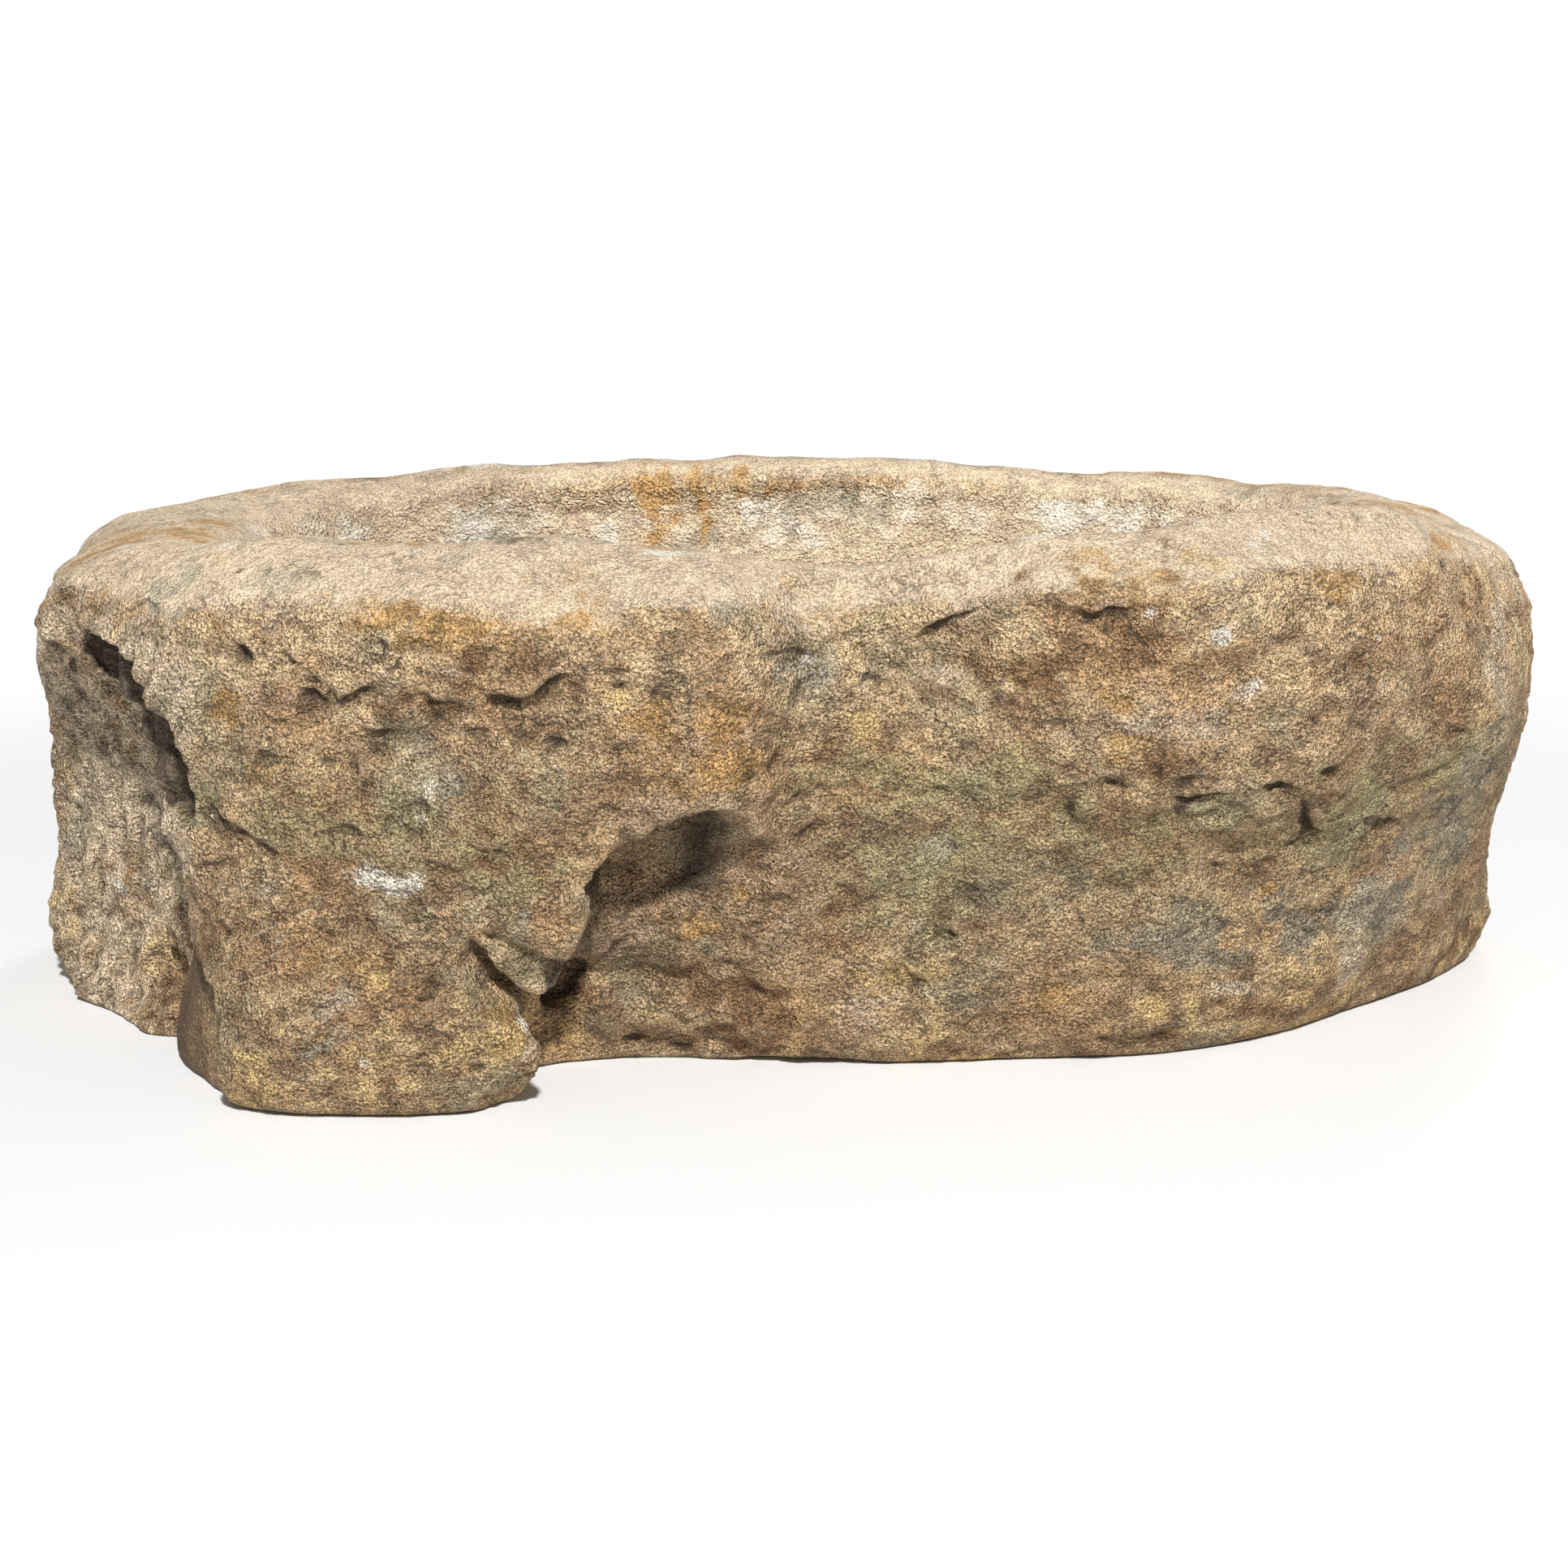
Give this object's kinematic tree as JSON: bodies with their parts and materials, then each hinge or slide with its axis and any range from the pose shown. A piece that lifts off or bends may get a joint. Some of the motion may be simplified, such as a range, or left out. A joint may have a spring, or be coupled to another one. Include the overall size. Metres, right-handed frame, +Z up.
{
  "type": "stone trough planter",
  "caption": "Long rough-hewn stone trough planter: a thick-walled block with a deep basin, a rounded rim, a broken-off left corner and an overhung hollow in its front.",
  "frame": {"origin": "on the flat that the stone rests on, at the middle of its nominal length and depth", "axes": "+X along the trough's length, to the right when seen from the pictured front; +Y from the front to the back; +Z up"},
  "size_m": [1.291, 0.7054, 0.4284],
  "materials": {
    "sandstone": "weathered buff sandstone, rough-hewn and fully matt, with ochre, green and chalky stains"
  },
  "bodies": {
    "root": {"stone_trough": "sandstone"}
  },
  "joints": []
}
